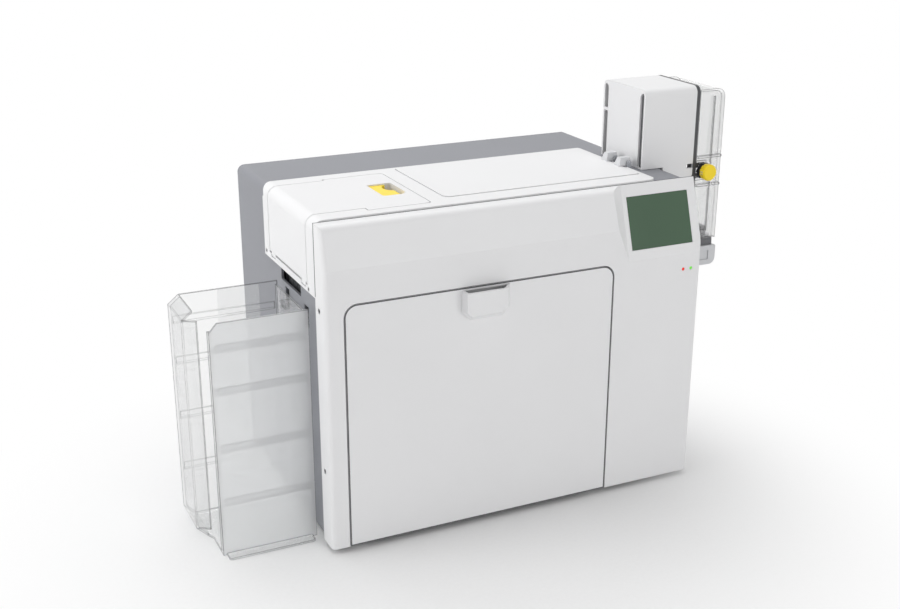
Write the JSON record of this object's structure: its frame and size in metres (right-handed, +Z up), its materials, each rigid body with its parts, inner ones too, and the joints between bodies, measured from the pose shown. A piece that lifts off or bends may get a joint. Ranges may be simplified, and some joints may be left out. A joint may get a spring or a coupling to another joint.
{
  "type": "id card printer",
  "caption": "Desktop ID card printer with drop-down front door, hinged top covers, side feeder tower with clear door and a clear output hopper.",
  "frame": {"origin": "centre of the footprint of the whole machine, on the surface it stands on", "axes": "+X to the right seen from the front, +Y from the front door to the rear panel, +Z up"},
  "size_m": [0.5594, 0.2738, 0.385],
  "materials": {
    "grey_abs": "satin moulded ABS",
    "white_abs": "fine satin moulded ABS",
    "light_grey_abs": "satin moulded ABS",
    "steel": "zinc plated sheet",
    "bright_steel": "turned steel",
    "rubber": "ground rubber",
    "blue_rubber": "tacky silicone",
    "hot_rubber": "silicone",
    "screen_glass": "gloss",
    "black_abs": "satin",
    "red_light": "gloss lens",
    "green_light": "gloss lens",
    "yellow_abs": "satin moulded ABS",
    "clear_pc": "clear polycarbonate",
    "blue_abs": "satin moulded ABS",
    "dark_abs": "satin moulded ABS",
    "ribbon": "coated polyester",
    "film": "coated polyester",
    "board": "solder mask"
  },
  "bodies": {
    "chassis": {"outer_housing": "grey_abs", "rear_panel": "grey_abs", "base_plate": "steel", "feet": "rubber", "front_cover": "white_abs", "door_pins": "bright_steel", "screen": "screen_glass", "display_module": "black_abs", "light_red": "red_light", "light_green": "green_light", "cover_screws": "black_abs", "top_cover": "white_abs", "cover_pins": "bright_steel", "feeder_base": "light_grey_abs", "feeder_tower": "white_abs", "pin_keeper": "steel", "card_well": "black_abs", "card_tray": "black_abs", "feeder_pin": "bright_steel", "front_frame": "steel", "rear_frame": "steel", "card_guide": "steel", "drive_belt": "rubber", "drive_motor": "black_abs", "main_board": "board", "power_supply": "steel", "mains_inlet": "black_abs", "cooling_fan": "black_abs"},
    "front_door": {"front_door": "white_abs", "door_handle": "white_abs"},
    "side_flap": {"side_flap": "white_abs"},
    "flap_latch": {"flap_latch": "yellow_abs"},
    "top_lid": {"top_lid": "white_abs", "lid_hinges": "light_grey_abs"},
    "feeder_door": {"feeder_door": "clear_pc", "knob_collar": "black_abs"},
    "knob": {"knob": "yellow_abs"},
    "card_weight": {"card_weight": "black_abs"},
    "output_hopper": {"output_hopper": "clear_pc"},
    "ribbon_cassette": {"ribbon_cassette": "blue_abs", "ribbon_web": "ribbon"},
    "ribbon_supply": {"ribbon_supply": "ribbon"},
    "ribbon_takeup": {"ribbon_takeup": "ribbon"},
    "film_cassette": {"film_cassette": "dark_abs", "film_web": "film"},
    "film_supply": {"film_supply": "film"},
    "film_takeup": {"film_takeup": "film"},
    "feed_roller_in": {"feed_roller_in": "rubber"},
    "feed_roller_mid": {"feed_roller_mid": "rubber"},
    "feed_roller_out": {"feed_roller_out": "rubber"},
    "cleaning_roller": {"cleaning_roller": "blue_rubber"},
    "motor_pulley": {"motor_pulley": "bright_steel"},
    "hot_roller": {"hot_roller": "hot_rubber"},
    "pressure_roller": {"pressure_roller": "rubber"},
    "platen_roller": {"platen_roller": "rubber"},
    "print_head": {"print_head": "steel"},
    "flipper": {"flipper": "blue_abs"},
    "pick_roller": {"pick_roller": "rubber"},
    "power_switch": {"power_switch": "black_abs"},
    "fan_rotor": {"fan_rotor": "black_abs"}
  },
  "joints": [
    {"name": "front_door_hinge", "type": "hinge", "parent": "chassis", "child": "front_door", "pos_m": [-0.02285, -0.1164, 0.0115], "axis": [1, 0, 0], "range_deg": [0, 80]},
    {"name": "side_flap_hinge", "type": "hinge", "parent": "chassis", "child": "side_flap", "pos_m": [-0.17325, -0.0284, 0.2454], "axis": [0, -1, 0], "range_deg": [0, 95]},
    {"name": "flap_latch_slide", "type": "slide", "parent": "side_flap", "child": "flap_latch", "axis": [-1, 0, 0], "range_m": [0, 0.005], "stiffness_N_per_m": 150, "springref_m": -0.004},
    {"name": "top_lid_hinge", "type": "hinge", "parent": "chassis", "child": "top_lid", "pos_m": [0.17315, -0.0304, 0.3135], "axis": [0, 1, 0], "range_deg": [0, 88]},
    {"name": "feeder_door_hinge", "type": "hinge", "parent": "chassis", "child": "feeder_door", "pos_m": [0.24815, 0.0226, 0.3], "axis": [0, 0, 1], "range_deg": [0, 100]},
    {"name": "knob_slide", "type": "slide", "parent": "feeder_door", "child": "knob", "axis": [0, -1, 0], "range_m": [0, 0.004], "stiffness_N_per_m": 300, "springref_m": -0.003},
    {"name": "card_weight_slide", "type": "slide", "parent": "chassis", "child": "card_weight", "axis": [0, 0, 1], "range_m": [0, 0.133]},
    {"name": "output_hopper_lift", "type": "slide", "parent": "chassis", "child": "output_hopper", "axis": [0, 0, 1], "range_m": [0, 0.012]},
    {"name": "ribbon_cassette_slide", "type": "slide", "parent": "chassis", "child": "ribbon_cassette", "axis": [0, -1, 0], "range_m": [0, 0.026]},
    {"name": "film_cassette_slide", "type": "slide", "parent": "chassis", "child": "film_cassette", "axis": [0, -1, 0], "range_m": [0, 0.026]},
    {"name": "ribbon_takeup_spin", "type": "hinge", "parent": "ribbon_cassette", "child": "ribbon_takeup", "pos_m": [-0.09485, -0.0259, 0.058], "axis": [0, 1, 0], "continuous": true},
    {"name": "ribbon_supply_spin", "type": "hinge", "parent": "ribbon_cassette", "child": "ribbon_supply", "pos_m": [-0.09485, -0.0259, 0.142], "axis": [0, 1, 0], "continuous": true},
    {"name": "hot_roller_spin", "type": "hinge", "parent": "chassis", "child": "hot_roller", "pos_m": [0.00515, -0.0259, 0.2196], "axis": [0, 1, 0], "continuous": true},
    {"name": "film_supply_spin", "type": "hinge", "parent": "film_cassette", "child": "film_supply", "pos_m": [0.06715, -0.0259, 0.072], "axis": [0, 1, 0], "continuous": true},
    {"name": "film_takeup_spin", "type": "hinge", "parent": "film_cassette", "child": "film_takeup", "pos_m": [0.06715, -0.0259, 0.16], "axis": [0, 1, 0], "continuous": true},
    {"name": "platen_spin", "type": "hinge", "parent": "chassis", "child": "platen_roller", "pos_m": [-0.02485, -0.0259, 0.13], "axis": [0, 1, 0], "continuous": true},
    {"name": "pressure_roller_spin", "type": "hinge", "parent": "chassis", "child": "pressure_roller", "pos_m": [0.00515, -0.0259, 0.2434], "axis": [0, 1, 0], "continuous": true},
    {"name": "feed_in_spin", "type": "hinge", "parent": "chassis", "child": "feed_roller_in", "pos_m": [0.16115, -0.0259, 0.2246], "axis": [0, -1, 0], "continuous": true},
    {"name": "feed_mid_spin", "type": "hinge", "parent": "chassis", "child": "feed_roller_mid", "pos_m": [0.08715, -0.0259, 0.2246], "axis": [0, -1, 0], "continuous": true},
    {"name": "feed_out_spin", "type": "hinge", "parent": "chassis", "child": "feed_roller_out", "pos_m": [-0.15785, -0.0259, 0.2246], "axis": [0, -1, 0], "continuous": true},
    {"name": "cleaning_roller_spin", "type": "hinge", "parent": "chassis", "child": "cleaning_roller", "pos_m": [0.16115, -0.0259, 0.2414], "axis": [0, -1, 0], "continuous": true},
    {"name": "motor_spin", "type": "hinge", "parent": "chassis", "child": "motor_pulley", "pos_m": [0.12415, 0.0246, 0.2246], "axis": [0, -1, 0], "continuous": true},
    {"name": "print_head_lift", "type": "hinge", "parent": "chassis", "child": "print_head", "pos_m": [-0.07085, -0.0259, 0.096], "axis": [0, -1, 0], "range_deg": [0, 8]},
    {"name": "flipper_turn", "type": "hinge", "parent": "chassis", "child": "flipper", "pos_m": [-0.10485, -0.0259, 0.233], "axis": [0, 1, 0], "continuous": true},
    {"name": "pick_roller_spin", "type": "hinge", "parent": "chassis", "child": "pick_roller", "pos_m": [0.22715, -0.0259, 0.224], "axis": [0, -1, 0], "continuous": true},
    {"name": "power_switch_rock", "type": "hinge", "parent": "chassis", "child": "power_switch", "pos_m": [0.16765, 0.1306, 0.0315], "axis": [1, 0, 0], "range_deg": [0, 16]},
    {"name": "fan_spin", "type": "hinge", "parent": "chassis", "child": "fan_rotor", "pos_m": [0.11715, 0.1246, 0.17], "axis": [0, 1, 0], "continuous": true}
  ],
  "couplings": [
    {"joint": "ribbon_supply_spin", "follows": "ribbon_takeup_spin", "ratio": 0.6667},
    {"joint": "film_supply_spin", "follows": "hot_roller_spin", "ratio": 0.5417},
    {"joint": "film_takeup_spin", "follows": "hot_roller_spin", "ratio": 0.8667},
    {"joint": "platen_spin", "follows": "hot_roller_spin", "ratio": 1.1818},
    {"joint": "pressure_roller_spin", "follows": "hot_roller_spin", "ratio": -1.3},
    {"joint": "feed_mid_spin", "follows": "feed_in_spin", "ratio": 1},
    {"joint": "feed_out_spin", "follows": "feed_in_spin", "ratio": 1},
    {"joint": "cleaning_roller_spin", "follows": "feed_in_spin", "ratio": -1},
    {"joint": "motor_spin", "follows": "feed_in_spin", "ratio": 1}
  ]
}
